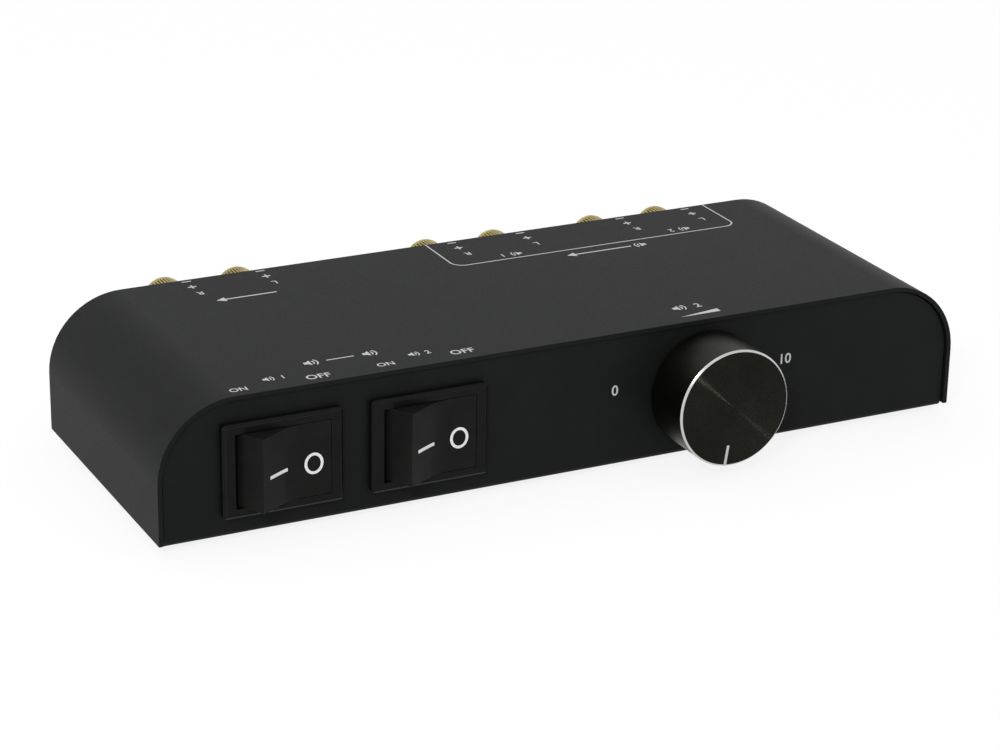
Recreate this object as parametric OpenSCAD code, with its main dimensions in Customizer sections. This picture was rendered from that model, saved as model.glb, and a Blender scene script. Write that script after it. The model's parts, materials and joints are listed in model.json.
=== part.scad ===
// Speaker selector box: two rocker switches and a volume knob on the front,
// twelve binding posts on the rear, in a bent sheet-metal case.
// Millimetres. +X right, +Y rear, +Z up; origin under the middle of the box, at the feet.

/* [Case] */
// Width across the cover
case_w = 230; // [226:1:260]
// Depth of the cover, front edge to rear edge
case_d = 82.5; // [80:0.5:120]
// Height of the case without its feet
case_h = 37.5; // [36.5:0.5:50]
// Outer radius of the cover's two shoulders
shoulder_r = 20.5; // [12:0.5:23]
// Thickness of the cover's sheet
cover_t = 1.2; // [0.8:0.1:1.6]
// Thickness of the chassis sheet
chassis_t = 1; // [0.8:0.1:1.5]
// How far the front and rear panels sit inside the cover's edges
panel_inset = 0.9; // [0.4:0.1:2]
// Gap between a panel's outline and the cover
panel_gap = 0.4; // [0.2:0.1:0.8]
// Outer radius of the chassis bends
bend_r = 1.8; // [1.6:0.1:3]
// Width of the cover's inward lips
lip_w = 10; // [9:0.5:16]

/* [Feet and screws] */
// Height of a rubber foot
foot_h = 2; // [1.8:0.1:6]
// Diameter of a rubber foot
foot_d = 11; // [8:0.5:14]
// Foot centre from the cover's side
foot_inset_x = 22; // [20:0.5:40]
// Foot centre from the cover's front or rear edge
foot_inset_y = 15; // [12:0.5:25]
// Shank diameter of a cover screw
screw_d = 3; // [2:0.5:3.5]
// Head diameter of a cover screw
screw_head_d = 5.5; // [5:0.1:7]
// Head height of a cover screw
screw_head_h = 1.5; // [1:0.1:1.7]
// Length of a cover screw under its head
screw_len = 6; // [4:0.5:8]

/* [Controls] */
// Height of the switch and knob centres above the base
control_h = 18; // [17.5:0.5:19]
// Centre of the first switch
switch_1_x = -82.5; // [-84:0.5:-78]
// Centre of the second switch
switch_2_x = -42.75; // [-44:0.25:-30]
// Centre of the volume knob
knob_x = 37.5; // [20:0.5:45]

/* [Rocker switches] */
// Width of the switch's bezel
bezel_w = 32; // [32:0.5:36]
// Height of the switch's bezel
bezel_h = 25; // [24.5:0.5:28]
// How far the bezel stands in front of the cover's edge
bezel_proud = 1.6; // [1:0.1:3]
// Chamfer round the bezel's face
bezel_chamfer = 0.7; // [0.3:0.1:1]
// Width of the bezel's window
window_w = 25.6; // [24:0.1:26]
// Height of the bezel's window
window_h = 20; // [18:0.5:20]
// Width of the switch body, behind the panel
body_w = 29.8; // [29.6:0.1:30.6]
// Height of the switch body, behind the panel
body_h = 21.8; // [21.6:0.1:22.6]
// Rocker's tilt each side of its middle
tilt = 15; // [10:0.5:16]
// Rocker's axis behind the cover's front edge
rocker_axis_in = 5.1; // [4.8:0.1:6]
// Running gap round the rocker
rocker_gap = 0.2; // [0.15:0.05:0.4]
// Wall thickness of the rocker
rocker_wall = 1.5; // [1:0.1:2]
// Diameter of the rocker's pivot pins
pivot_d = 3; // [2:0.1:3.6]
// Distance between the two poles
pole_pitch = 11; // [9:0.5:11.5]
// Rocker's axis to the tip of a plunger
plunger_reach = 12; // [11:0.5:13]
// Diameter of a plunger's head
plunger_head_d = 2.8; // [2.4:0.1:3]
// Tilt of the contact arms each side of their middle
arm_tilt = 8; // [6:0.5:9]
// Half length of a contact arm
arm_half = 7.5; // [6.5:0.5:9]
// Width of a contact arm
arm_w = 3; // [2:0.5:4]
// Thickness of a contact arm
arm_t = 0.5; // [0.4:0.1:0.7]
// Width of a terminal blade
blade_w = 4.8; // [3.8:0.1:5]
// Thickness of a terminal blade
blade_t = 0.8; // [0.5:0.1:1]
// Length of a terminal blade behind the switch
blade_len = 8; // [6:0.5:10]

/* [Volume control] */
// Diameter of the knob
knob_d = 32; // [28:0.5:34]
// How far the knob's face stands in front of the cover's edge
knob_reach = 15.6; // [15:0.1:22]
// Gap between the knob and the front panel
knob_gap = 0.8; // [0.5:0.1:2]
// Wall thickness of the knob's shell
knob_wall = 2; // [1.2:0.1:3]
// Width of the cut chamfer round the knob's face
knob_chamfer = 0.9; // [0.5:0.1:1.5]
// Width of the knob's pointer line
pointer_w = 0.8; // [0.5:0.1:1.5]
// Depth of the knob's pointer line
pointer_depth = 0.4; // [0.2:0.1:0.8]
// Inner end of the pointer line, from the knob's axis
pointer_from = 10.2; // [6:0.2:12]
// Pointer at rest, clockwise from straight up
pointer_rest = 188.5; // [180:0.5:215]
// Diameter of the control's shaft
shaft_d = 6; // [6:0.1:6.4]
// Depth of the flat on the shaft's end
shaft_flat = 1.5; // [1:0.1:2]
// Diameter of the threaded bushing
bushing_d = 9; // [8:0.2:10]
// How far the bushing stands in front of the panel
bushing_reach = 4.6; // [4:0.1:6]
// Diameter of the control's can
can_d = 28; // [24:0.5:28.5]
// Length of one of the control's two sections
section_len = 10; // [9:0.5:12]

/* [Binding posts] */
// Centre of the two input columns
input_x = -65.85; // [-80:0.05:-55]
// Centre of the first pair's output columns
output_1_x = 12.65; // [0:0.05:20]
// Centre of the second pair's output columns
output_2_x = 65.7; // [55:0.05:80]
// Distance between the two columns of a group
column_pitch = 21.2; // [16:0.1:24]
// Height of the lower row above the base
lower_row_h = 10.2; // [10:0.1:11]
// Distance between the two rows
row_pitch = 17; // [15:0.1:18]
// How far a cap stands behind the cover's rear edge
post_reach = 17.5; // [16:0.1:22]
// Diameter over the knurl of a cap
cap_d = 11.5; // [11:0.1:13]
// Flutes round a cap's knurl
knurl_count = 36; // [24:1:48]
// Depth of a cap's knurl
knurl_depth = 0.3; // [0.2:0.05:0.4]
// Diameter of a post's stud
stud_d = 6; // [5.6:0.1:6.4]
// Diameter of the plug socket in a stud
socket_d = 4; // [3.8:0.1:4.2]
// Depth of the plug socket
socket_depth = 10; // [8:0.5:10]
// Diameter of the wire hole across a stud
wire_hole_d = 2.4; // [1.5:0.1:2.6]
// Diameter of an insulating collar
collar_d = 11; // [10:0.1:12]
// Length of an insulating collar outside the panel
collar_len = 4.2; // [3:0.1:4.6]
// Diameter of the collar's spigot through the panel
spigot_d = 8; // [7.6:0.1:9]

/* [Wiring] */
// Diameter over a wire's insulation
wire_d = 1.8; // [1.4:0.1:1.9]
// Distance between neighbouring wires
wire_pitch = 2.4; // [2.2:0.1:2.4]
// Bend radius of a wire where it has room
wire_bend = 2.5; // [1:0.1:3]

/* [Fits] */
// Radial clearance of a turning fit
turn_fit = 0.05; // [0.02:0.01:0.08]
// Radial clearance between parts that are fixed together
seat_fit = 0.05; // [0.02:0.01:0.1]
// Clearance between a panel cut-out and what passes through it
panel_fit = 0.2; // [0.1:0.05:0.3]
// Clearance between a moving part and its fixed neighbour
run_gap = 0.15; // [0.1:0.05:0.2]

/* [Hidden] */
$fn = 64;
over = 1; // how far a cut runs past the face that it opens
joined = 0.1; // overlap of two shapes that make one solid
rest_gap = 0.05; // between parts that lie against each other
side = [-1, 1];

// Case planes
front_y = (knob_reach - case_d - post_reach) / 2;
rear_y = front_y + case_d;
base_z = foot_h;
panel_y = front_y + panel_inset;
rear_panel_y = rear_y - panel_inset;
control_z = base_z + control_h;
inner_clear = cover_t + panel_gap;
panel_w = case_w - 2 * inner_clear;
panel_h = case_h - inner_clear;
panel_r = shoulder_r - inner_clear;
slot_w = 0.6; // of a cover screw's cross slot
slot_depth = 0.9;
head_draft = 0.4; // how much narrower a screw head or a foot is at its outer end
foot_draft = 0.6;
lip_z = base_z + chassis_t;
cover_h = case_h - chassis_t;
lip_end_gap = panel_inset + chassis_t + 2 * panel_gap;
screw_x = case_w / 2 - cover_t - lip_w / 2;
screw_from_foot = 3; // a cover screw sits this much nearer the edge than a foot
screw_y = [front_y + foot_inset_y - screw_from_foot, rear_y - foot_inset_y + screw_from_foot];

// Switch planes, measured from the rocker's axis
bezel_face = rocker_axis_in + bezel_proud;
panel_face = rocker_axis_in - panel_inset;
flank_r = window_w / 2 - rocker_gap;
rocker_h = window_h - 2 * rocker_gap;
skirt_angle = 10;
nose_len = 4.5; // of a plunger, out of its guide tube
tube_wall = 1;
tube_reach = plunger_reach - nose_len;
tube_r = plunger_head_d / 2 + tube_wall;
tube_bore_r = plunger_head_d / 2 + 2 * run_gap;
nose_step = 0.4; // a plunger's nose is this much smaller than its head, in radius
tip_r = plunger_head_d / 2 - nose_step;
dome_r = 1.6;
arm_y = plunger_reach + run_gap + rest_gap + arm_t; // the edge on which a contact arm rocks
button_t = 0.6;
floor_y = arm_y + 2 * button_t + run_gap + blade_t + rest_gap;
floor_t = 2;
housing_rear = floor_y + floor_t;
blade_end = housing_rear + blade_len;
contact_in = 0.5; // contact's centre from an arm's end
load_x = arm_half - contact_in;
skirt_len = 0.2;
skirt_back = flank_r * sin(skirt_angle) + skirt_len;
tube_root = -6; // front end of a guide tube, inside the rocker's wall
spring_seat = -4.6;
plunger_seat = 3; // length of a plunger inside its tube
plunger_from = tube_reach - plunger_seat;
spring_turns = 6;
spring_steps = 10;
spring_play = 0.3;
spring_r = plunger_head_d / 2 - spring_play;
spring_wire_r = 0.18;
pole_z = [-pole_pitch / 2, pole_pitch / 2];
button_r = 1.2;
plate_y = floor_y - rest_gap - blade_t;
fulcrum_lap = 0.3; // how far an arm's flat half runs past its edge
plate_lap = 1; // a load terminal's plate runs past its contact by this much
blade_hole_r = 0.8;
blade_hole_in = 2; // hole's centre from a blade's end
bezel_corner_r = 1;
clip_w = 8;
clip_reach = 0.9;
clip_len = 7;

// Volume control planes, measured from the panel's front face
washer_t = 0.5;
washer_rim = 2.4; // of a ring round the bushing or the shaft
nut_rim = 4; // a nut's width over its flats, less its bore
pin_r = 1.2; // locating pin, and its place in from the can's edge
pin_in = 2.5;
nut_t = 2;
plate_t = 1.5;
can_from = chassis_t + plate_t;
can_to = can_from + 2 * section_len;
can_wall = 0.8;
knob_face = -(knob_reach + panel_inset);
knob_back = -knob_gap;
face_t = 2.5;
hub_wall = 2.5; // of the knob's insert, round the shaft
hub_d = shaft_d + 2 * hub_wall;
tip_gap = 0.5;
shaft_tip = knob_face + face_t + tip_gap;
shaft_end = can_to - can_wall - run_gap;
wafer_t = 1;
winding_t = 2.2;
winding_in = 3.5;
winding_r = can_d / 2 - winding_in;
winding_half = 1;
stop_gap = 8; // between the ends of a winding
rest_to_stop = 30; // middle of that gap, in degrees before the resting wiper
lug_angles = [-25, 0, 25];
lug_t = 0.5;
lug_w = 2.6;
lug_in = 6; // how far a lug reaches into the can, and out of it
lug_out = 5;
lug_hole_in = 1.6; // hole's centre from a lug's end
lug_root = can_d / 2 - lug_in;
lug_end = can_d / 2 + lug_out;
lug_hole = lug_end - lug_hole_in;
lug_hole_r = 0.7;
winding_face = lug_t + wafer_t + winding_t;
wiper_hub = 2.5;
wiper_wall = 2;
wiper_w = 2.4;
wiper_t = 0.6;
disc_t = 1.5; // of the knob's insert, and its ribs
rib_t = 1.2;
rib_len = 6;
rib_gap = 0.3;
hub_gap = 0.4; // from the insert to the bushing
insert_y = knob_face + face_t;
insert_r = knob_d / 2 - knob_wall - seat_fit;

// Binding post planes, measured from the rear panel's outer face
cap_end = post_reach + panel_inset;
cap_gap = 0.3; // from a collar to the screwed-down cap
stud_in = 1.6; // stud's end and the ring's seat, in from the cap's end
ring_in = 1.4;
cap_from = collar_len + cap_gap;
stud_end = cap_end - stud_in;
stud_inner = 12;
socket_from = stud_end - socket_depth;
hole_wall = 0.2; // between the plug socket and the wire hole
wire_hole_y = socket_from - wire_hole_d / 2 - hole_wall;
ring_seat = cap_end - ring_in;
post_nut_t = 2.5;
post_nut_af = 8;
inner_washer_t = 1.5;
tag_t = 0.5;
tag_len = 9.5;
tag_w = 3;
tag_rim = 0.2;
tag_hole_r = 0.8;
tag_hole_in = 1.8; // hole's centre from a tag's end
tag_hole = tag_len - tag_hole_in;
washer_back = chassis_t + inner_washer_t;
cap_core_r = cap_d / 2 - knurl_depth - joined;
cap_bore_r = stud_d / 2 + run_gap + rest_gap;
cap_rim = 1;
cap_front_edge = 0.5; // chamfers at a cap's two ends
cap_rear_edge = 0.4;
knurl_in = 1.5; // smooth band before the knurl
ring_wall = 0.6; // between a ring's bore and the plug socket
ring_sunk = 0.1; // below the cap's end
ring_r = cap_core_r - cap_rim;
column_x = [for (g = [input_x, output_1_x, output_2_x]) for (s = side) g + s * column_pitch / 2];
row_z = [base_z + lower_row_h, base_z + lower_row_h + row_pitch];

// Wiring
bare_r = 0.45; // a wire's bare end, and its length out of the insulation
bare_len = 1;
tip_half = 0.08; // half the gap between two bare ends in one hole
bend_in = 2.25; // from a terminal to the wire's first bend
same = 0.01; // two places closer than this are one
bend_share = 0.45; // part of a straight that one of its bends may take
run_z = lip_z + run_gap + wire_d / 2; // runs along X lie on the base, and those along Y cross above them
cross_z = run_z + wire_pitch;
tag_y = -washer_back - post_nut_t - tag_t / 2;

// Colours
powder_black = [0.2, 0.2, 0.2];
plastic_black = [0.12, 0.12, 0.12];
rubber_grey = [0.16, 0.16, 0.16];
gold = [0.83, 0.69, 0.35];
brass = [0.78, 0.66, 0.36];
steel = [0.72, 0.73, 0.75];
tin = [0.8, 0.8, 0.8];
phenolic = [0.5, 0.33, 0.18];
post_red = [0.75, 0.08, 0.08];
post_black = [0.1, 0.1, 0.1];
white = [0.95, 0.95, 0.95];

// ---- shared shapes ----

function turned(p, a) = [p.x * cos(a) - p.y * sin(a), p.x * sin(a) + p.y * cos(a)];
function unit(v) = v / norm(v);

module along_y(from, to) translate([0, to, 0]) rotate([90, 0, 0]) linear_extrude(to - from) children();
module along_x(from, to) translate([from, 0, 0]) rotate([90, 0, 90]) linear_extrude(to - from) children();
module rod_y(r, from, to) translate([0, from, 0]) rotate([-90, 0, 0]) cylinder(r = r, h = to - from);
module turned_y(profile) rotate([-90, 0, 0]) rotate_extrude() polygon(profile);
module block(x, y, z) translate([x[0], y[0], z[0]]) cube([x[1] - x[0], y[1] - y[0], z[1] - z[0]]);
module ring_y(outer, inner, from, to) difference() {
  rod_y(outer, from, to);
  rod_y(inner, from - over, to + over);
}

// Directions along points, and ring frames carried from one point to the next
function tangents(p) = [for (i = [0:len(p) - 1]) unit(p[min(i + 1, len(p) - 1)] - p[max(i - 1, 0)])];
function carried(t, n, i = 0) =
  let (m = unit(n - (n * t[i]) * t[i]))
  i == len(t) - 1 ? [m] : concat([m], carried(t, m, i + 1));
// A closed tube along points, with a radius at each
module tube(points, radii, start_normal, sides = 6) {
  t = tangents(points);
  n = carried(t, start_normal);
  last = len(points) - 1;
  rings = [for (i = [0:last]) for (k = [0:sides - 1])
    points[i] + radii[i] * (cos(360 * k / sides) * n[i] + sin(360 * k / sides) * cross(t[i], n[i]))];
  walls = [for (i = [0:last - 1]) for (k = [0:sides - 1])
    [i * sides + k, (i + 1) * sides + k, (i + 1) * sides + (k + 1) % sides, i * sides + (k + 1) % sides]];
  polyhedron(rings, concat(walls, [[for (k = [0:sides - 1]) k], [for (k = [sides - 1:-1:0]) last * sides + k]]));
}

// ---- case ----

// An arch: flat foot, upright sides, two shoulders
module arch(w, h, r) {
  translate([-w / 2, 0]) square([w, h - r]);
  translate([r - w / 2, 0]) square([w - 2 * r, h]);
  for (s = side) translate([s * (w / 2 - r), h - r]) intersection() {
    circle(r);
    translate([-r, 0]) square([2 * r, r]);
  }
}

module panel_outline() translate([0, base_z]) arch(panel_w, panel_h, panel_r);

// Side view of the chassis: base with the front and rear panels bent up from it
module chassis_side(inset) {
  from = panel_y + inset;
  to = rear_panel_y - inset;
  r = bend_r - inset;
  foot = base_z + inset;
  translate([from, foot + r]) square([to - from, case_h]);
  translate([from + r, foot]) square([to - from - 2 * r, case_h]);
  for (y = [from + r, to - r]) translate([y, foot + r]) circle(r);
}

module chassis() color(powder_black) difference() {
  intersection() {
    along_y(panel_y, rear_panel_y) panel_outline();
    along_x(-case_w / 2, case_w / 2) difference() {
      chassis_side(0);
      chassis_side(chassis_t);
    }
  }
  for (x = [switch_1_x, switch_2_x])
    block([x - body_w / 2 - panel_fit, x + body_w / 2 + panel_fit],
          [panel_y - over, panel_y + chassis_t + over],
          [control_z - body_h / 2 - panel_fit, control_z + body_h / 2 + panel_fit]);
  translate([knob_x, panel_y, control_z]) {
    rod_y(bushing_d / 2 + panel_fit, -over, chassis_t + over);
    locating_pin(-over, chassis_t + over, panel_fit);
  }
  for (x = column_x, z = row_z) translate([x, rear_panel_y, z])
    rod_y(spigot_d / 2 + panel_fit / 2, -chassis_t - over, over);
  for (s = side, y = screw_y) translate([s * screw_x, y, base_z - over])
    cylinder(r = screw_d / 2 + panel_fit, h = chassis_t + 2 * over);
}

module cover() color(powder_black) difference() {
  along_y(front_y, rear_y) difference() {
    translate([0, lip_z]) arch(case_w, cover_h, shoulder_r);
    translate([0, lip_z + cover_t]) arch(case_w - 2 * cover_t, cover_h - 2 * cover_t, shoulder_r - cover_t);
    translate([cover_t + lip_w - case_w / 2, lip_z - over])
      square([case_w - 2 * (cover_t + lip_w), cover_t + 2 * over]);
  }
  // the lips stop short of the two panels
  for (y = [[front_y - over, front_y + lip_end_gap], [rear_y - lip_end_gap, rear_y + over]])
    block([cover_t - case_w / 2, case_w / 2 - cover_t], y, [lip_z - over, lip_z + cover_t + over]);
  for (s = side, y = screw_y) translate([s * screw_x, y, lip_z - over])
    cylinder(r = screw_d / 2 + seat_fit, h = cover_t + 2 * over);
}

module cover_screws() color(steel) for (s = side, y = screw_y) translate([s * screw_x, y, base_z]) difference() {
  union() {
    translate([0, 0, -screw_head_h]) cylinder(r1 = screw_head_d / 2 - head_draft, r2 = screw_head_d / 2, h = screw_head_h);
    translate([0, 0, -joined]) cylinder(r = screw_d / 2, h = screw_len + joined);
  }
  for (a = [0, 90]) rotate([0, 0, a])
    translate([-screw_d / 2, -slot_w / 2, -screw_head_h - over]) cube([screw_d, slot_w, slot_depth + over]);
}

module rubber_feet() color(rubber_grey)
  for (s = side, y = [front_y + foot_inset_y, rear_y - foot_inset_y])
    translate([s * (case_w / 2 - foot_inset_x), y, 0]) cylinder(r1 = foot_d / 2 - foot_draft, r2 = foot_d / 2, h = base_z);

// ---- rocker switches: local origin on the rocker's axis, at the panel's control height ----

module at_switch(x) translate([x, front_y + rocker_axis_in, control_z]) children();

// Corner of the rocker between facet and flank, drawn with that side pressed in, then turned back to the middle
function ridge(inset) = turned([flank_r - inset, inset - bezel_face], -tilt);
function rocker_right(inset, back) = concat(
  [ridge(inset)],
  [for (a = [-tilt:5:skirt_angle]) (flank_r - inset) * [cos(a), sin(a)]],
  [[(flank_r - inset) * cos(skirt_angle), back]]);
function rocker_outline(inset, back) =
  let (r = rocker_right(inset, back))
  concat([[0, ridge(inset).y + ridge(inset).x * tan(tilt)]], r, [for (i = [len(r) - 1:-1:0]) [-r[i].x, r[i].y]]);

module rocker() color(plastic_black) rotate([0, 0, tilt]) difference() {
  union() {
    difference() {
      linear_extrude(rocker_h, center = true) polygon(rocker_outline(0, skirt_back));
      linear_extrude(rocker_h - 2 * rocker_wall, center = true) polygon(rocker_outline(rocker_wall, skirt_back + over));
    }
    for (z = pole_z) translate([0, 0, z]) rod_y(tube_r, tube_root, tube_reach);
    for (s = side) scale([1, 1, s]) translate([0, 0, rocker_h / 2 - rocker_wall / 2])
      cylinder(r = pivot_d / 2, h = (body_h - rocker_h) / 2 + rocker_wall / 2 - run_gap);
  }
  for (z = pole_z) translate([0, 0, z]) rod_y(tube_bore_r, spring_seat, tube_reach + over);
}

module plungers() color(brass) rotate([0, 0, tilt]) for (z = pole_z) translate([0, 0, z]) turned_y(concat(
  [[0, plunger_from], [plunger_head_d / 2, plunger_from], [plunger_head_d / 2, tube_reach], [tip_r, tube_reach]],
  [for (a = [asin(tip_r / dome_r):-9:0]) [dome_r * sin(a), plunger_reach - dome_r * (1 - cos(a))]],
  [[0, plunger_reach]]));

module springs() color(steel) rotate([0, 0, tilt]) for (z = pole_z) translate([0, 0, z])
  tube([for (i = [0:spring_turns * spring_steps])
      let (a = 360 * i / spring_steps, from = spring_seat + spring_wire_r, to = plunger_from - spring_wire_r)
      [spring_r * cos(a), from + (to - from) * i / (spring_turns * spring_steps), spring_r * sin(a)]],
    [for (i = [0:spring_turns * spring_steps]) spring_wire_r], [1, 0, 0]);

module contact_arms() color(brass) for (z = pole_z) translate([0, arm_y, z]) rotate([0, 0, -arm_tilt]) {
  rotate([0, 0, arm_tilt]) block([-arm_half, fulcrum_lap], [-arm_t, 0], [-arm_w / 2, arm_w / 2]);
  rotate([0, 0, -arm_tilt]) {
    block([0, arm_half], [-arm_t, 0], [-arm_w / 2, arm_w / 2]);
    translate([load_x, 0, 0]) rod_y(button_r, -arm_t / 2, button_t);
  }
}

module blade(x, from) difference() {
  block([x - blade_t / 2, x + blade_t / 2], [from, blade_end], [-blade_w / 2, blade_w / 2]);
  translate([x - over, blade_end - blade_hole_in, 0]) rotate([0, 90, 0]) cylinder(r = blade_hole_r, h = 2 * over);
}

module switch_terminals() color(tin) for (z = pole_z) translate([0, 0, z]) {
  blade(0, arm_y + 2 * rest_gap);
  blade(load_x, plate_y);
  block([load_x - button_r - plate_lap, load_x + button_r], [plate_y, plate_y + blade_t], [-blade_w / 2, blade_w / 2]);
  translate([load_x, 0, 0]) rod_y(button_r, plate_y - button_t, plate_y + blade_t / 2);
}

// A rectangle with rounded corners
module plate(w, h, r) {
  square([w - 2 * r, h], center = true);
  square([w, h - 2 * r], center = true);
  for (x = side, y = side) translate([x * (w / 2 - r), y * (h / 2 - r)]) circle(r);
}

// One side view of the bezel: its face edges are cut back by the chamfer
module bezel_side(w) polygon([[-w / 2, -panel_face], [-w / 2, bezel_chamfer - bezel_face],
  [bezel_chamfer - w / 2, -bezel_face], [w / 2 - bezel_chamfer, -bezel_face],
  [w / 2, bezel_chamfer - bezel_face], [w / 2, -panel_face]]);

module housing() color(plastic_black) difference() {
  union() {
    intersection() {
      linear_extrude(2 * bezel_h, center = true) bezel_side(bezel_w);
      rotate([0, 90, 0]) linear_extrude(2 * bezel_w, center = true) bezel_side(bezel_h);
      along_y(-bezel_face - over, -panel_face) plate(bezel_w, bezel_h, bezel_corner_r);
    }
    block([-body_w / 2, body_w / 2], [-panel_face - joined, housing_rear], [-body_h / 2, body_h / 2]);
    // snap clips that grip the back of the panel
    for (s = side) scale([s, 1, 1]) translate([body_w / 2 - joined, chassis_t + rest_gap - panel_face, 0])
      linear_extrude(clip_w, center = true) polygon([[0, 0], [clip_reach, 0], [0, clip_len]]);
  }
  block([-window_w / 2, window_w / 2], [-bezel_face - over, floor_y], [-window_h / 2, window_h / 2]);
  cylinder(r = pivot_d / 2 + turn_fit, h = body_h + 2 * over, center = true);
  for (x = [0, load_x], z = pole_z)
    block([x - blade_t / 2 - seat_fit, x + blade_t / 2 + seat_fit], [floor_y - over, housing_rear + over],
          [z - blade_w / 2 - seat_fit, z + blade_w / 2 + seat_fit]);
}

// ---- volume control: local origin on its axis, at the panel's front face ----

module at_volume() translate([knob_x, panel_y, control_z]) children();

module locating_pin(from, to, extra) translate([0, 0, can_d / 2 - pin_in]) rod_y(pin_r + extra, from, to);

module volume_bushing() color(steel) difference() {
  union() {
    rod_y(can_d / 2, chassis_t, can_from);
    rod_y(bushing_d / 2, -bushing_reach, can_from);
    locating_pin(run_gap, can_from, 0);
  }
  rod_y(shaft_d / 2 + turn_fit, -bushing_reach - over, can_from + over);
}

module volume_washer() color(steel) ring_y(bushing_d / 2 + washer_rim, bushing_d / 2 + seat_fit, -washer_t, 0);

module hex_y(af, hole_r, from, to) difference() {
  translate([0, from, 0]) rotate([-90, 0, 0]) cylinder(r = af / 2 / cos(30), h = to - from, $fn = 6);
  rod_y(hole_r, from - over, to + over);
}

module volume_nut() color(steel) hex_y(bushing_d + nut_rim, bushing_d / 2 + seat_fit, -washer_t - nut_t, -washer_t);

// Three lugs, side by side on the left of a section
module lugs(from, to, reach, w) for (a = lug_angles) rotate([0, a - 90, 0])
  block([-w / 2, w / 2], [from, to], [lug_root, reach]);

module volume_case() color(tin) for (k = [0, 1]) translate([0, can_from + k * section_len, 0]) difference() {
  rod_y(can_d / 2, 0, section_len);
  rod_y(can_d / 2 - can_wall, -over, section_len - can_wall);
  lugs(-over, lug_t + seat_fit, can_d, lug_w + 2 * seat_fit);
  if (k == 0) rod_y(shaft_d / 2 + panel_fit, 0, section_len + over);
}

module volume_terminals() color(tin) for (k = [0, 1]) translate([0, can_from + k * section_len, 0]) difference() {
  lugs(0, lug_t, lug_end, lug_w);
  for (a = lug_angles) rotate([0, a - 90, 0]) translate([0, 0, lug_hole]) rod_y(lug_hole_r, -over, 2 * over);
}

// An insulating wafer with the wound element on it; the element leaves the gap between the end stops
module volume_elements() color(phenolic) for (k = [0, 1]) translate([0, can_from + k * section_len, 0]) {
  ring_y(can_d / 2 - can_wall - seat_fit, shaft_d / 2 + washer_rim, lug_t, lug_t + wafer_t);
  difference() {
    ring_y(winding_r + winding_half, winding_r - winding_half, lug_t + wafer_t / 2, winding_face);
    rotate([0, pointer_rest - rest_to_stop, 0]) translate([0, 0, winding_r])
      block([-stop_gap, stop_gap] / 2, [lug_t + wafer_t, can_d], [-stop_gap, stop_gap] / 2);
  }
}

module shaft_section(extra, from, to) difference() {
  rod_y(shaft_d / 2 + extra, from, to);
  block([-shaft_d, shaft_d], [from - over, -bushing_reach], [shaft_d / 2 - shaft_flat + extra, shaft_d]);
}

module at_pointer() rotate([0, pointer_rest, 0]) children();

module volume_shaft() color(steel) at_pointer() shaft_section(0, shaft_tip, shaft_end);

module volume_wipers() color(brass) at_pointer()
  for (k = [0, 1]) translate([0, can_from + k * section_len + winding_face + run_gap, 0]) difference() {
    union() {
      rod_y(shaft_d / 2 + wiper_wall, 0, wiper_hub);
      block([-wiper_w, wiper_w] / 2, [0, wiper_t], [shaft_d / 2 + winding_half, winding_r + winding_half]);
    }
    rod_y(shaft_d / 2 + seat_fit, -over, wiper_hub + over);
  }

knob_outside = [[0, knob_face], [knob_d / 2 - knob_chamfer, knob_face], [knob_d / 2, knob_face + knob_chamfer],
  [knob_d / 2, knob_back]];

module pointer_bar(from) at_pointer()
  block([-pointer_w / 2, pointer_w / 2], [from, knob_face + pointer_depth], [pointer_from, knob_d]);

module knob_shell() color(plastic_black) difference() {
  turned_y(concat(knob_outside, [[knob_d / 2 - knob_wall, knob_back], [knob_d / 2 - knob_wall, knob_face + face_t],
    [0, knob_face + face_t]]));
  pointer_bar(knob_face - over);
}

module knob_pointer() color(white) intersection() {
  turned_y(concat(knob_outside, [[0, knob_back]]));
  pointer_bar(knob_face);
}

// Moulded hub pressed into the shell: a disc against its face, ribs, and a D bore for the shaft
module knob_insert() color(plastic_black) at_pointer() difference() {
  union() {
    rod_y(insert_r, insert_y, insert_y + disc_t);
    rod_y(hub_d / 2, insert_y, -bushing_reach - hub_gap);
    for (a = [0:60:300]) rotate([0, a, 0])
      block([-rib_t, rib_t] / 2, [insert_y, insert_y + rib_len], [hub_d / 2 - joined, insert_r - rib_gap]);
  }
  shaft_section(seat_fit, insert_y - over, 0);
}

// ---- binding posts: local origin on the stud's axis, at the rear panel's outer face ----

module at_post(i) translate(post_place(i)) children();
module at_posts(first, step = 2) for (i = [first:step:12]) at_post(i) children();

module post_studs() color(gold) at_posts(1, 1) difference() {
  rod_y(stud_d / 2, -stud_inner, stud_end);
  rod_y(socket_d / 2, socket_from, stud_end + over);
  translate([0, wire_hole_y, 0]) cylinder(r = wire_hole_d / 2, h = stud_d + 2 * over, center = true);
}

module post_collars(first) at_posts(first) difference() {
  union() {
    rod_y(collar_d / 2, 0, collar_len);
    rod_y(spigot_d / 2, -chassis_t, joined);
  }
  rod_y(stud_d / 2 + seat_fit, -chassis_t - over, collar_len + over);
}

module post_inner_washers() color(post_black) at_posts(1, 1)
  ring_y(collar_d / 2, stud_d / 2 + seat_fit, -washer_back, -chassis_t);

// Two nuts on each stud, with the solder tag clamped between them
module post_nuts() color(brass) at_posts(1, 1)
  for (y = [-washer_back, -washer_back - post_nut_t - tag_t])
    hex_y(post_nut_af, stud_d / 2 + seat_fit, y - post_nut_t, y);

module post_tags() color(tin) at_posts(1, 1) translate([0, -washer_back - post_nut_t - tag_t, 0]) difference() {
  union() {
    rod_y(post_nut_af / 2 + tag_rim, 0, tag_t);
    block([0, tag_len], [0, tag_t], [-tag_w, tag_w] / 2);
  }
  rod_y(stud_d / 2 + seat_fit, -over, tag_t + over);
  translate([tag_hole, 0, 0]) rod_y(tag_hole_r, -over, tag_t + over);
}

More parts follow.
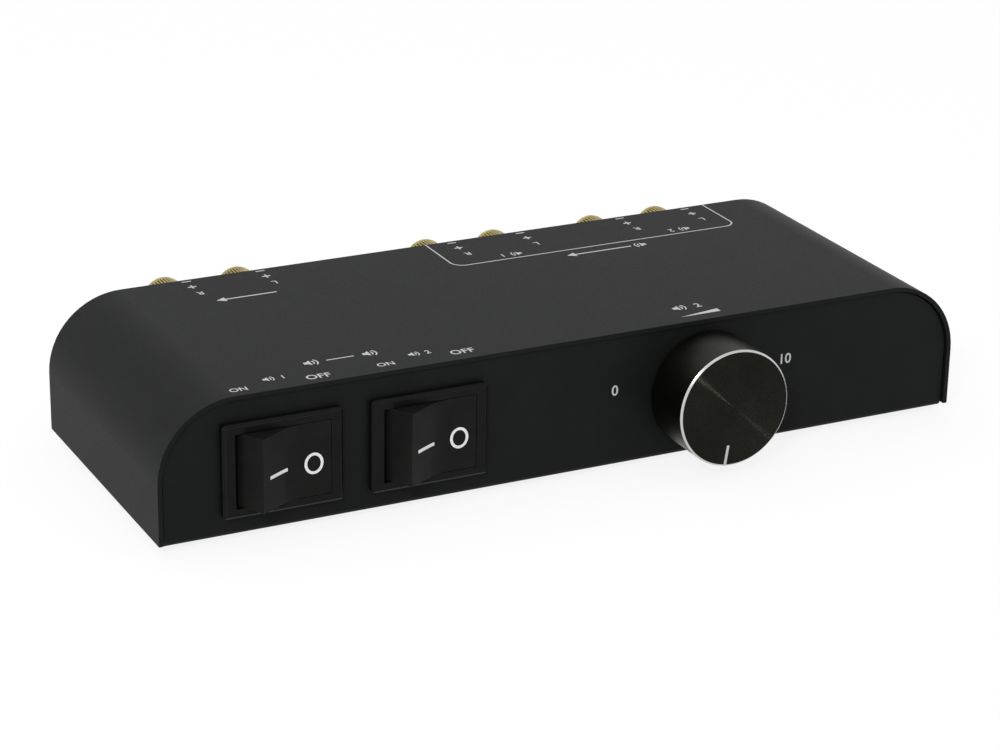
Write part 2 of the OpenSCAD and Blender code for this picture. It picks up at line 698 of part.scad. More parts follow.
module post_cap() color(gold) difference() {
  union() {
    turned_y([[0, cap_from], [cap_core_r - cap_front_edge, cap_from], [cap_core_r, cap_from + cap_front_edge],
      [cap_core_r, cap_end - cap_rear_edge], [cap_core_r - cap_rear_edge, cap_end], [0, cap_end]]);
    along_y(cap_from + knurl_in, cap_end - cap_front_edge) polygon([for (i = [0:2 * knurl_count - 1])
      (cap_d / 2 - (i % 2) * knurl_depth) * [cos(180 * i / knurl_count), sin(180 * i / knurl_count)]]);
  }
  turned_y([[0, cap_from - over], [cap_bore_r, cap_from - over], [cap_bore_r, ring_seat],
    [ring_r + run_gap, ring_seat], [ring_r + run_gap, cap_end + over], [0, cap_end + over]]);
}

module post_ring(i) color(i % 2 == 0 ? post_red : post_black)
  ring_y(ring_r, socket_d / 2 + ring_wall, ring_seat + run_gap, cap_end - ring_sunk);

// ---- wiring: each end is [tip in its terminal's hole, ..., point above or below the place where it drops] ----

function flipped(v) = [for (i = [len(v) - 1:-1:0]) v[i]];

// From an end's last point to the run along X at y: straight to the run's level, or first along Y in the upper layer
function leg(e, y) = abs(e.y - y) < same ? [[e.x, y, run_z]] : [[e.x, e.y, cross_z], [e.x, y, cross_z], [e.x, y, run_z]];
function route(a, y, b) = concat(a, leg(a[len(a) - 1], y), flipped(concat(b, leg(b[len(b) - 1], y))));

// Each corner becomes a three-point bend, as large as its shorter side allows
function bend_at(a, p, b) =
  let (d = unit(p - a), e = unit(b - p), r = min(wire_bend, bend_share * norm(p - a), bend_share * norm(b - p)))
  [p - r * d, p - r * (1 - sqrt(0.5)) * (d - e), p + r * e];
module wire(p) {
  last = len(p) - 1;
  d = unit(p[1] - p[0]);
  e = unit(p[last - 1] - p[last]);
  bends = [for (i = [1:last - 1]) each bend_at(p[i - 1], p[i], p[i + 1])];
  points = concat([p[0], p[0] + bare_len * d, p[0] + (bare_len + rest_gap) * d], bends,
    [p[last] + (bare_len + rest_gap) * e, p[last] + bare_len * e, p[last]]);
  end = len(points) - 1;
  tube(points, [for (i = [0:end]) i < 2 || i > end - 2 ? bare_r : wire_d / 2], [0, 0, 1]);
}

// s is the side of the blade on which the wire leaves; the upper pole's wire drops outside the lower one's
function switch_end(x, pole, s) = let (y = front_y + rocker_axis_in + blade_end - blade_hole_in, z = control_z + pole_z[pole])
  [[x + s * tip_half, y, z], [x + s * (bend_in + pole * wire_pitch), y, z]];
function post_place(i) = [column_x[floor((i - 1) / 2)], rear_panel_y, row_z[(i - 1) % 2]];
function tag_point(i, y) = post_place(i) + [tag_hole, y, 0];
// in front of the tag, by a number of wire pitches; or behind it
function post_front(i, rank) = [tag_point(i, tag_y - tip_half), tag_point(i, tag_y - bend_in - rank * wire_pitch)];
function post_behind(i) = [tag_point(i, tag_y + tip_half), tag_point(i, tag_y + bend_in)];
// section 0 is the front one; lug 0 is the lowest
function lug_front(section, lug) = let (a = lug_angles[lug], y = panel_y + can_from + section * section_len + lug_t / 2)
  [[knob_x - lug_hole * cos(a), y, control_z + lug_hole * sin(a)],
   [knob_x - lug_hole * cos(a), y + bend_in + lug * wire_pitch, control_z + lug_hole * sin(a)]];

wires_to_loads = [for (n = [0, 1]) let (common = [switch_1_x, switch_2_x][n], load = common + load_x)
  [for (pole = [0, 1]) [switch_end(common, pole, -1), switch_end(common, pole, 1), switch_end(load, pole, 1)]]];

module wires_red() color(post_red) {
  s1 = wires_to_loads[0];
  s2 = wires_to_loads[1];
  y = s1[0][0][0].y;
  inputs = [post_front(4, 2), post_front(2, 1)];
  pair_1 = [post_front(8, 1), post_front(6, 1)];
  pair_2 = [post_front(12, 1), post_front(10, 1)];
  for (pole = [0, 1]) {
    in = inputs[pole];
    wire(route(in, in[1].y, s1[pole][0]));
    wire(route(s1[pole][1], y - (1 - pole) * 2 * wire_pitch, s2[pole][0]));
    wire(route(s1[pole][2], y + (3 - pole) * wire_pitch, pair_1[pole]));
    volume_in = lug_front(1 - pole, 2);
    wire(route(s2[pole][2], volume_in[1].y, volume_in));
    volume_out = lug_front(1 - pole, 1);
    wire(route(volume_out, volume_out[1].y, pair_2[pole]));
  }
}

module wires_black() color(post_black) {
  step_x = [wire_pitch, 0, 0];
  wire(route(post_front(1, 0), post_front(1, 0)[1].y, post_front(5, 0)));
  wire(route(post_behind(3), post_behind(3)[1].y, post_behind(7)));
  wire(route(post_behind(5), rear_panel_y + tag_y, post_behind(9)));
  wire(route(post_front(7, 0), post_front(7, 0)[1].y, post_front(11, 0)));
  right = lug_front(0, 0);
  left = lug_front(1, 0);
  wire(route(concat(post_front(9, 0), [post_front(9, 0)[1] + step_x]), right[1].y, right));
  wire(route(concat(post_behind(11), [post_behind(11)[1] + step_x]), left[1].y, left));
}

chassis();
cover();
cover_screws();
rubber_feet();
at_switch(switch_1_x) housing();  // switch_1_housing
at_switch(switch_1_x) switch_terminals();  // switch_1_terminals
at_switch(switch_1_x) rocker();  // switch_1_rocker
at_switch(switch_1_x) plungers();  // switch_1_plungers
at_switch(switch_1_x) springs();  // switch_1_springs
at_switch(switch_1_x) contact_arms();  // switch_1_contact_arms
at_switch(switch_2_x) housing();  // switch_2_housing
at_switch(switch_2_x) switch_terminals();  // switch_2_terminals
at_switch(switch_2_x) rocker();  // switch_2_rocker
at_switch(switch_2_x) plungers();  // switch_2_plungers
at_switch(switch_2_x) springs();  // switch_2_springs
at_switch(switch_2_x) contact_arms();  // switch_2_contact_arms
at_volume() volume_bushing();
at_volume() volume_case();
at_volume() volume_elements();
at_volume() volume_terminals();
at_volume() volume_washer();
at_volume() volume_nut();
at_volume() volume_shaft();
at_volume() volume_wipers();
at_volume() knob_shell();
at_volume() knob_insert();
at_volume() knob_pointer();
post_studs();
color(post_red) post_collars(2);  // post_collars_red
color(post_black) post_collars(1);  // post_collars_black
post_inner_washers();
post_nuts();
post_tags();
wires_red();
wires_black();
for (i = [1:12]) {
  at_post(i) post_ring(i);
  at_post(i) post_cap();
}
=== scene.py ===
"""A speaker selector box: finishes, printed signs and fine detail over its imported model. Metres."""
import json
import math

import bmesh
import bpy
from mathutils import Matrix, Vector
from mathutils.bvhtree import BVHTree

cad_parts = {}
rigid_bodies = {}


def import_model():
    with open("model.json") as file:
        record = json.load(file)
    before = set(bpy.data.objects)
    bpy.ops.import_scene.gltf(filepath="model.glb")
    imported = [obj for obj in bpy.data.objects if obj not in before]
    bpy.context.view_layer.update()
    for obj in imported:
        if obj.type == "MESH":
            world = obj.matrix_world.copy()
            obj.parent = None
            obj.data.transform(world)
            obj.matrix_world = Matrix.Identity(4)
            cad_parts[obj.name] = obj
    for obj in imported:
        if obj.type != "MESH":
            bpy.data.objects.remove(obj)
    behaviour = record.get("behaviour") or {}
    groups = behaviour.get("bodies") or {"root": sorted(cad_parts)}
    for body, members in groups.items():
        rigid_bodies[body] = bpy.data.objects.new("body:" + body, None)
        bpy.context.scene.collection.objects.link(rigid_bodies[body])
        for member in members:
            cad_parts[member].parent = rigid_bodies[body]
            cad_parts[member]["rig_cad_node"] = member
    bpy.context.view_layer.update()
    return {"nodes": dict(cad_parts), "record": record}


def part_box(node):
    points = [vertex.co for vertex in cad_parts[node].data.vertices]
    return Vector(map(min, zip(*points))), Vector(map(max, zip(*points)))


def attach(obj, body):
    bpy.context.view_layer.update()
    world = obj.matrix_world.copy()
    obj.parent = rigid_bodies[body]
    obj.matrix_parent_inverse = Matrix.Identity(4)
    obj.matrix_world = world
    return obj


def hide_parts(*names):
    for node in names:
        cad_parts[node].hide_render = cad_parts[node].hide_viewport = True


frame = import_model()

MM = 0.001
NEAR = 0.05 * MM  # two places this close count as one
case_low, case_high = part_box("cover")
knob_low, knob_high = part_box("knob_shell")
TOP_Z = case_high.z
FRONT_Y = case_low.y
REAR_Y = case_high.y
PANEL_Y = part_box("chassis")[0].y
BEZEL_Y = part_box("switch_1_housing")[0].y
KNOB_AXIS = (knob_low + knob_high) / 2
KNOB_RADIUS = (knob_high.x - knob_low.x) / 2
SWITCHES = (1, 2)
POSTS = range(1, 13)


def clear_scene():
    """Blender's own starting objects go; the frame's stay."""
    for name in ("Cube", "Light", "Camera"):
        if name in bpy.data.objects and "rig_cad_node" not in bpy.data.objects[name]:
            bpy.data.objects.remove(bpy.data.objects[name])


# ---- camera and light ----

CAMERA_AT = Vector((-0.33908, -0.67380, 0.31382))
CAMERA_YAW = math.radians(-26.598)
CAMERA_PITCH = math.radians(-21.650)
CAMERA_ROLL = math.radians(0.960)
CAMERA_LENS = 108.18
CAMERA_SENSOR = 36
CAMERA_NEAREST = 0.02

# name, place, what it faces, width, height and watts
SOFTBOXES = (
    ("overhead", (-0.1, 0.35, 1.1), (0, 0, 0), 1.2, 0.8, 1.5),
    ("key", (-0.517, -0.669, 0.584), (0.0375, -0.058, 0.02), 0.1, 0.1, 3.4),
)

BACKDROP = 1.0  # what the eye and a gloss see round the object
ROOM_LIGHT = 0.72  # what lights it from the same directions
FLOOR_GLOW = 0.86  # the floor's own white, to the eye and a gloss
FLOOR_SEEN = 0.15  # how much of its light and shadow they see
FLOOR_BOUNCE = 0.8  # how much light it sends back to the object
FLOOR_REACH = 6


def make_camera():
    data = bpy.data.cameras.new("photo_camera")
    data.lens = CAMERA_LENS
    data.sensor_width = CAMERA_SENSOR
    data.clip_start = CAMERA_NEAREST
    camera = bpy.data.objects.new("photo_camera", data)
    forward = Vector((-math.sin(CAMERA_YAW), math.cos(CAMERA_YAW), 0)) * math.cos(CAMERA_PITCH)
    forward.z = math.sin(CAMERA_PITCH)
    level = Vector((math.cos(CAMERA_YAW), math.sin(CAMERA_YAW), 0))
    above = level.cross(forward)
    right = level * math.cos(CAMERA_ROLL) + above * math.sin(CAMERA_ROLL)
    up = above * math.cos(CAMERA_ROLL) - level * math.sin(CAMERA_ROLL)
    turn = Matrix((right, up, -forward)).transposed()
    camera.matrix_world = Matrix.Translation(CAMERA_AT) @ turn.to_4x4()
    bpy.context.scene.collection.objects.link(camera)
    bpy.context.scene.camera = camera


def softbox(name, at, aim, width, height, power):
    data = bpy.data.lights.new(name, "AREA")
    data.shape = "RECTANGLE"
    data.size = width
    data.size_y = height
    data.energy = power
    lamp = bpy.data.objects.new(name, data)
    lamp.location = at
    lamp.rotation_euler = (Vector(aim) - Vector(at)).to_track_quat("-Z", "Y").to_euler()
    bpy.context.scene.collection.objects.link(lamp)


def shows_backdrop(nodes, links):
    """1 for a ray that shows the surroundings to the eye, directly, in a gloss or through glass."""
    path = nodes.new("ShaderNodeLightPath")
    total = path.outputs["Is Camera Ray"]
    for name in ("Is Glossy Ray", "Is Transmission Ray"):
        add = nodes.new("ShaderNodeMath")
        add.operation = "MAXIMUM"
        links.new(total, add.inputs[0])
        links.new(path.outputs[name], add.inputs[1])
        total = add.outputs[0]
    return total


def make_world():
    world = bpy.data.worlds.new("studio")
    world.use_nodes = True
    nodes, links = world.node_tree.nodes, world.node_tree.links
    nodes.clear()
    out = nodes.new("ShaderNodeOutputWorld")
    lit = nodes.new("ShaderNodeBackground")
    lit.inputs["Strength"].default_value = ROOM_LIGHT
    white = nodes.new("ShaderNodeBackground")
    white.inputs["Strength"].default_value = BACKDROP
    white.inputs["Color"].default_value = lit.inputs["Color"].default_value = (1, 1, 1, 1)
    mix = nodes.new("ShaderNodeMixShader")
    links.new(shows_backdrop(nodes, links), mix.inputs[0])
    links.new(lit.outputs[0], mix.inputs[1])
    links.new(white.outputs[0], mix.inputs[2])
    links.new(mix.outputs[0], out.inputs[0])
    bpy.context.scene.world = world


def make_floor():
    """A pale floor that looks white and keeps the object's soft shadow."""
    mesh = bmesh.new()
    bmesh.ops.create_grid(mesh, x_segments=1, y_segments=1, size=FLOOR_REACH)
    floor = add_piece("floor", mesh)
    mat = bpy.data.materials.new("pale_floor")
    mat.use_nodes = True
    nodes, links = mat.node_tree.nodes, mat.node_tree.links
    nodes.clear()
    out = nodes.new("ShaderNodeOutputMaterial")
    matt = nodes.new("ShaderNodeBsdfDiffuse")
    glow = nodes.new("ShaderNodeEmission")
    seen = shows_backdrop(nodes, links)
    for socket, unseen, shown in ((matt.inputs["Color"], FLOOR_BOUNCE, FLOOR_SEEN),
                                  (glow.inputs["Strength"], 0, FLOOR_GLOW)):
        share = nodes.new("ShaderNodeMapRange")
        share.inputs["To Min"].default_value = unseen
        share.inputs["To Max"].default_value = shown
        links.new(seen, share.inputs["Value"])
        links.new(share.outputs["Result"], socket)
    both = nodes.new("ShaderNodeAddShader")
    links.new(matt.outputs[0], both.inputs[0])
    links.new(glow.outputs[0], both.inputs[1])
    links.new(both.outputs[0], out.inputs[0])
    floor.data.materials.append(mat)


# ---- materials ----

NOISE_LOW, NOISE_HIGH = 0.3, 0.7  # what most of a noise lies between


def linear(*srgb):
    """8-bit screen colour to the linear values that a shader takes."""
    return tuple((c / 255 / 12.92) if c < 10.3 else ((c / 255 + 0.055) / 1.055) ** 2.4 for c in srgb)


def grey(tone):
    return linear(tone, tone, tone)


class Finish:
    """A material with its tree at hand."""

    def __init__(self, name, color, roughness, metallic=0.0, gloss=0.5):
        self.mat = bpy.data.materials.new(name)
        self.mat.use_nodes = True
        self.nodes = self.mat.node_tree.nodes
        self.links = self.mat.node_tree.links
        self.shader = self.nodes["Principled BSDF"]
        self.shader.inputs["Base Color"].default_value = (*color, 1)
        self.shader.inputs["Roughness"].default_value = roughness
        self.shader.inputs["Metallic"].default_value = metallic
        self.shader.inputs["Specular IOR Level"].default_value = gloss
        self.coords = self.nodes.new("ShaderNodeTexCoord")
        self.tone = None

    def centred_on(self, point):
        """The place on the piece, measured from a point."""
        mapping = self.nodes.new("ShaderNodeMapping")
        mapping.inputs["Location"].default_value = [-c for c in point]
        self.links.new(self.coords.outputs["Object"], mapping.inputs["Vector"])
        return mapping.outputs[0]

    def noise(self, size, detail=2.0):
        """Noise whose grains are about size metres across."""
        node = self.nodes.new("ShaderNodeTexNoise")
        node.inputs["Scale"].default_value = 1 / size
        node.inputs["Detail"].default_value = detail
        self.links.new(self.coords.outputs["Object"], node.inputs["Vector"])
        return node.outputs["Fac"]

    def spread(self, value, low, high, from_low=NOISE_LOW, from_high=NOISE_HIGH):
        node = self.nodes.new("ShaderNodeMapRange")
        ends = {"From Min": from_low, "From Max": from_high, "To Min": low, "To Max": high}
        for key, number in ends.items():
            node.inputs[key].default_value = number
        self.links.new(value, node.inputs["Value"])
        return node.outputs["Result"]

    def roughness(self, value, low, high):
        self.links.new(self.spread(value, low, high), self.shader.inputs["Roughness"])

    def colour(self, amount, second, first=None):
        """Lays a second colour over the first, or over what is there, by the amount."""
        mix = self.nodes.new("ShaderNodeMix")
        mix.data_type = "RGBA"
        if self.tone is None:
            mix.inputs["A"].default_value = (*first, 1)
        else:
            self.links.new(self.tone, mix.inputs["A"])
        mix.inputs["B"].default_value = (*second, 1)
        self.links.new(amount, mix.inputs["Factor"])
        self.tone = mix.outputs["Result"]
        self.links.new(self.tone, self.shader.inputs["Base Color"])

    def mottle(self, size, dark, light):
        """Two close colours in soft patches."""
        self.colour(self.spread(self.noise(size), 0, 1), light, dark)

    def bump(self, value, depth, strength):
        node = self.nodes.new("ShaderNodeBump")
        node.inputs["Distance"].default_value = depth
        node.inputs["Strength"].default_value = strength
        self.links.new(value, node.inputs["Height"])
        self.links.new(node.outputs["Normal"], self.shader.inputs["Normal"])

    def rubbed_edges(self, tone, amount):
        """Rounded edges go a little lighter, in patches: partly wear from hands and cloths, partly a painted
        highlight along the edges.
        """
        least, patch_size = 0.3 * amount, 2.5 * MM
        rounded_edge = self.nodes.new("ShaderNodeAttribute")
        rounded_edge.attribute_name = "rounded_edge"
        patch = self.nodes.new("ShaderNodeMath")
        patch.operation = "MULTIPLY"
        self.links.new(rounded_edge.outputs["Fac"], patch.inputs[0])
        self.links.new(self.spread(self.noise(patch_size), least, amount), patch.inputs[1])
        # the lighter edge tone is part wear, part painted highlight
        self.colour(patch.outputs[0], tone)


def powder_coat():
    """Matt black powder coat: a fine orange-peel grain and a slight mottle."""
    f = Finish("powder_coat_black", linear(21, 22, 22), roughness=0.52, gloss=0.086)
    peel = f.noise(0.3 * MM, detail=3)
    f.mottle(9 * MM, dark=linear(19, 20, 20), light=linear(22, 23, 23))
    # edges a little lighter: some wear and a painted highlight
    f.rubbed_edges(linear(62, 62, 60), amount=0.6)
    f.roughness(peel, 0.46, 0.58)
    f.bump(peel, depth=0.015 * MM, strength=0.5)
    return f.mat


def moulded_black(name, tone, rough, gloss, wear_and_highlight_tone):
    """Black moulded plastic with a fine spark-eroded grain, and edges lighter from wear and from a painted
    highlight.
    """
    f = Finish(name, grey(tone), roughness=0.4, gloss=gloss)
    grain = f.noise(0.22 * MM)
    f.mottle(5 * MM, dark=grey(tone - 2), light=linear(tone + 2, tone + 2, tone + 1))
    # painted highlight and wear along the rounded edges
    f.rubbed_edges(linear(wear_and_highlight_tone, wear_and_highlight_tone, wear_and_highlight_tone - 1), amount=0.7)
    f.roughness(grain, rough - 0.05, rough + 0.07)
    f.bump(grain, depth=0.006 * MM, strength=0.5)
    return f.mat


def plastic(name, dark, light, rough=0.28):
    f = Finish(name, light, rough, gloss=0.4)
    f.mottle(4 * MM, dark, light)
    f.roughness(f.noise(0.4 * MM), rough - 0.05, rough + 0.07)
    f.bump(f.noise(0.3 * MM), depth=0.004 * MM, strength=0.4)
    return f.mat


def metal(name, dark, light, rough):
    """Plated or bare metal with a fine grain."""
    f = Finish(name, light, rough, metallic=1.0)
    grain = f.noise(0.3 * MM)
    f.mottle(3 * MM, dark, light)
    f.roughness(grain, rough * 0.8, rough * 1.25)
    f.bump(grain, depth=0.003 * MM, strength=0.4)
    return f.mat


def rubber():
    f = Finish("black_rubber", grey(34), roughness=0.8, gloss=0.3)
    f.mottle(2 * MM, dark=grey(28), light=linear(40, 40, 39))
    f.roughness(f.noise(0.5 * MM), 0.7, 0.9)
    f.bump(f.noise(0.4 * MM), depth=0.02 * MM, strength=0.5)
    return f.mat


def ink(name, tone):
    """Screen-printed white ink, slightly thin in places."""
    f = Finish(name, grey(tone), roughness=0.55, gloss=0.3)
    f.mottle(0.5 * MM, dark=grey(tone - 16), light=grey(tone))
    f.roughness(f.noise(0.3 * MM), 0.5, 0.65)
    return f.mat


def spun(name, dark, light, rough, stretched):
    """Turned aluminium: its sheen is drawn out across the fine rings that the tool left."""
    f = Finish(name, light, rough, metallic=1.0)
    f.mottle(6 * MM, dark, light)
    f.roughness(f.noise(0.3 * MM), rough * 0.92, rough * 1.1)
    f.shader.inputs["Anisotropic"].default_value = stretched
    f.shader.inputs["Anisotropic Rotation"].default_value = 0.25
    tangent = f.nodes.new("ShaderNodeTangent")
    tangent.direction_type = "RADIAL"
    tangent.axis = "Y"
    f.links.new(tangent.outputs[0], f.shader.inputs["Tangent"])
    return f


def faced(name, dark, light, rough, inward, outward):
    """The knob's face: turned rings too fine to see, whose slopes catch a lamp in one thin streak."""
    f = spun(name, dark, light, rough, stretched=1.0)
    nodes, links = f.nodes, f.links
    ring_width, ring_shade = 0.4 * MM, 0.25

    def vector(operation, first, second=None):
        node = nodes.new("ShaderNodeVectorMath")
        node.operation = operation
        links.new(first, node.inputs[0])
        if isinstance(second, tuple):
            node.inputs[1].default_value = second
        elif second is not None:
            links.new(second, node.inputs[1])
        return node

    arm = vector("MULTIPLY", f.centred_on(KNOB_AXIS), (1, 0, 1)).outputs["Vector"]
    reach = vector("LENGTH", arm).outputs["Value"]
    rings = nodes.new("ShaderNodeTexNoise")
    rings.noise_dimensions = "1D"
    rings.inputs["Scale"].default_value = 1 / ring_width
    links.new(reach, rings.inputs["W"])
    f.colour(f.spread(rings.outputs["Fac"], 0, ring_shade), dark)
    groove = nodes.new("ShaderNodeTexWhiteNoise")
    groove.noise_dimensions = "1D"
    links.new(reach, groove.inputs["W"])
    slope = f.spread(groove.outputs["Value"], -inward, outward, 0, 1)
    outwards = nodes.new("ShaderNodeVectorTransform")
    outwards.vector_type, outwards.convert_from, outwards.convert_to = "VECTOR", "OBJECT", "WORLD"
    links.new(vector("NORMALIZE", arm).outputs["Vector"], outwards.inputs["Vector"])
    tilt = vector("SCALE", outwards.outputs["Vector"])
    links.new(slope, tilt.inputs["Scale"])
    flat = nodes.new("ShaderNodeNewGeometry").outputs["Normal"]
    leaning = vector("ADD", flat, tilt.outputs["Vector"]).outputs["Vector"]
    links.new(vector("NORMALIZE", leaning).outputs["Vector"], f.shader.inputs["Normal"])
    return f.mat


# ---- mesh helpers ----

WELD = 0.002 * MM
STILL_FLAT = math.radians(0.6)
LATHE_STEPS = 72


def add_piece(name, mesh, mat=None):
    """Turns a bmesh into an object at the origin."""
    data = bpy.data.meshes.new(name)
    mesh.to_mesh(data)
    mesh.free()
    if mat:
        data.materials.append(mat)
    piece = bpy.data.objects.new(name, data)
    bpy.context.scene.collection.objects.link(piece)
    return piece


def bake_modifiers(piece):
    """Applies what is on the piece, so nothing is left live."""
    bpy.context.view_layer.update()
    data = bpy.data.meshes.new_from_object(piece.evaluated_get(bpy.context.evaluated_depsgraph_get()))
    piece.modifiers.clear()
    piece.data = data


def mark_worn(data):
    """Marks the middle of each rounded edge, to which the bevel gave a second material, and drops that."""
    inside = [1.0] * len(data.vertices)
    for polygon in data.polygons:
        if polygon.material_index != 1:
            for v in polygon.vertices:
                inside[v] = 0.0
        polygon.material_index = 0
    # this mask takes the edges' wear and their painted highlight
    data.attributes.new("rounded_edge", "FLOAT", "POINT").data.foreach_set("value", inside)
    data.materials.pop(index=1)


def softened(node, body, mat, width, segments=2, angle=30, shape=None):
    """A copy of a CAD node with its sharp edges rounded; it stands for the node. shape changes it first."""
    mesh = bmesh.new()
    mesh.from_mesh(frame["nodes"][node].data)
    bmesh.ops.remove_doubles(mesh, verts=mesh.verts, dist=WELD)
    bmesh.ops.dissolve_limit(mesh, angle_limit=STILL_FLAT, verts=mesh.verts, edges=mesh.edges)
    if shape:
        shape(mesh)
    for face in mesh.faces:
        face.smooth = True
    piece = add_piece(node + "_finished", mesh, mat)
    bevel = piece.modifiers.new("round", "BEVEL")
    bevel.width = width
    bevel.segments = segments
    bevel.limit_method = "ANGLE"
    bevel.angle_limit = math.radians(angle)
    bevel.material = 1
    piece.data.materials.append(mat)
    piece.modifiers.new("even", "WEIGHTED_NORMAL")
    bake_modifiers(piece)
    mark_worn(piece.data)
    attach(piece, body)
    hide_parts(node)
    return piece


def dress(node, mat):
    piece = frame["nodes"][node]
    piece.data.materials.clear()
    piece.data.materials.append(mat)


def closed_skin(rows, mesh):
    """Joins rings of points, each to the next and the last to the first, with faces that point outwards."""
    faces = []
    for row, following in zip(rows, rows[1:] + rows[:1]):
        for k in range(len(row)):
            after = (k + 1) % len(row)
            faces.append(mesh.faces.new((row[k], row[after], following[after], following[k])))
    bmesh.ops.recalc_face_normals(mesh, faces=mesh.faces)
    return faces


def lathe(profile, axis):
    """Turns a closed outline of (radius, y) points about an axis along Y into a closed skin."""
    mesh = bmesh.new()
    rows = []
    for i in range(LATHE_STEPS):
        a = 2 * math.pi * i / LATHE_STEPS
        rows.append([mesh.verts.new((axis.x + r * math.sin(a), y, axis.z + r * math.cos(a)))
                     for r, y in profile])
    for face in closed_skin(rows, mesh):
        face.smooth = True
    return mesh


# ---- switches ----

BEZEL_CORNER = 1.3 * MM
CORNER_STEPS = 6
BEND = 3 * MM  # how far the bend between a rocker's facets reaches from their crease
BEND_STEPS = 8
INWARD_FOLD = -0.2  # radians; an edge that folds inwards more than this is a crease


def round_bezel(n):
    """Rounds the four upright corners of a switch's bezel."""
    low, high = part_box(f"switch_{n}_housing")
    shortest, straight = 1 * MM, 1.001

    def is_corner(edge):
        a, b = edge.verts[0].co, edge.verts[1].co
        along = abs(a.y - b.y)
        runs_back = along > shortest and (a - b).length < along * straight
        starts_in_front = min(a.y, b.y) < low.y + NEAR
        at_corner = all(min(abs(a[i] - low[i]), abs(a[i] - high[i])) < NEAR for i in (0, 2))
        return runs_back and starts_in_front and at_corner

    def shape(mesh):
        corners = [edge for edge in mesh.edges if is_corner(edge)]
        bmesh.ops.bevel(mesh, geom=corners, offset=BEZEL_CORNER, segments=CORNER_STEPS, profile=0.5,
                        affect="EDGES")
    return shape


def blend_facets(mesh):
    """Turns the crease between a rocker's raised facet and its flat one into a smooth bend."""
    tall = 5 * MM
    creases = []
    for edge in mesh.edges:
        a, b = edge.verts[0].co, edge.verts[1].co
        upright = abs(a.z - b.z) > tall and max(abs(a.y - BEZEL_Y), abs(b.y - BEZEL_Y)) < NEAR
        if upright and len(edge.link_faces) == 2 and edge.calc_face_angle_signed() < INWARD_FOLD:
            creases.append(edge)
    bmesh.ops.bevel(mesh, geom=creases, offset=BEND, segments=BEND_STEPS, profile=0.5, affect="EDGES")


# ---- shapes of printed signs, each flat on its own plane ----

PRINT = 0.012 * MM  # how far printed ink stands on the paint
LINE = 0.45 * MM
SIGN_LINE = 1.2 * LINE
ARROW_LINE = 1.3 * LINE
BOLD = 0.012  # how far a letter's outline is pushed out, as a share of its size
SOUND_ARC = 48  # degrees to each side
ARC_STEPS = 16
OVAL_STEPS = 48


def text_mesh(words, width=None, height=None):
    """Lettering in its own plane, centred, scaled to a width or a height."""
    curve = bpy.data.curves.new("words", "FONT")
    curve.body = words
    curve.size = 1
    curve.resolution_u = 4
    curve.offset = BOLD
    curve.extrude = 0.001
    source = bpy.data.objects.new("words", curve)
    bpy.context.scene.collection.objects.link(source)
    bpy.context.view_layer.update()
    data = bpy.data.meshes.new_from_object(source.evaluated_get(bpy.context.evaluated_depsgraph_get()))
    bpy.data.objects.remove(source)
    mesh = bmesh.new()
    mesh.from_mesh(data)
    bmesh.ops.remove_doubles(mesh, verts=mesh.verts, dist=1e-6)
    xs = [v.co.x for v in mesh.verts]
    ys = [v.co.y for v in mesh.verts]
    scale = width / (max(xs) - min(xs)) if width else height / (max(ys) - min(ys))
    middle = Vector(((max(xs) + min(xs)) / 2, (max(ys) + min(ys)) / 2, 0))
    for v in mesh.verts:
        flat = (v.co - middle) * scale
        v.co = Vector((flat.x, flat.y, PRINT if v.co.z > 0 else -PRINT))
    return mesh


def slab(outline):
    """A thin closed plate from a flat outline, as printed ink."""
    mesh = bmesh.new()
    low = [mesh.verts.new((x, y, -PRINT)) for x, y in outline]
    high = [mesh.verts.new((x, y, PRINT)) for x, y in outline]
    mesh.faces.new(high)
    mesh.faces.new(low[::-1])
    for i in range(len(outline)):
        j = (i + 1) % len(outline)
        mesh.faces.new((low[i], low[j], high[j], high[i]))
    bmesh.ops.recalc_face_normals(mesh, faces=mesh.faces)
    return mesh


def stroke(path, width):
    """A printed line of even width along a path."""
    inner, outer = [], []
    for i, point in enumerate(path):
        before, after = Vector(path[max(i - 1, 0)]), Vector(path[min(i + 1, len(path) - 1)])
        along = (after - before).normalized()
        across = Vector((-along.y, along.x)) * width / 2
        inner.append((point[0] + across.x, point[1] + across.y))
        outer.append((point[0] - across.x, point[1] - across.y))
    return slab(outer + inner[::-1])


def oval(wide, high, width):
    """A printed oval ring, from the half width and half height of its middle line."""
    mesh = bmesh.new()
    section = [(s * width / 2, z) for s, z in ((-1, -PRINT), (1, -PRINT), (1, PRINT), (-1, PRINT))]
    rows = []
    for i in range(OVAL_STEPS):
        a = 2 * math.pi * i / OVAL_STEPS
        rows.append([mesh.verts.new(((wide + r) * math.cos(a), (high + r) * math.sin(a), z))
                     for r, z in section])
    closed_skin(rows, mesh)
    return mesh


def arc(x, y, radius, start, end):
    """Points along an arc, in degrees."""
    angles = [math.radians(start + (end - start) * i / ARC_STEPS) for i in range(ARC_STEPS + 1)]
    return [(x + radius * math.cos(a), y + radius * math.sin(a)) for a in angles]


def bar(width, height, x=0.0, y=0.0):
    return slab([(x - width / 2, y - height / 2), (x + width / 2, y - height / 2),
                 (x + width / 2, y + height / 2), (x - width / 2, y + height / 2)])


def loudspeaker(size):
    """The common loudspeaker sign: magnet, cone and two sound arcs."""
    back, neck, throat, mouth = -0.42 * size, -0.22 * size, 0.15 * size, 0.36 * size
    source, line = -0.08 * size, 0.09 * size
    cone = slab([(back, -throat), (neck, -throat), (0, -mouth), (0, mouth), (neck, throat), (back, throat)])
    sound = [stroke(arc(source, 0, r * size, -SOUND_ARC, SOUND_ARC), line) for r in (0.28, 0.5)]
    return [cone] + sound


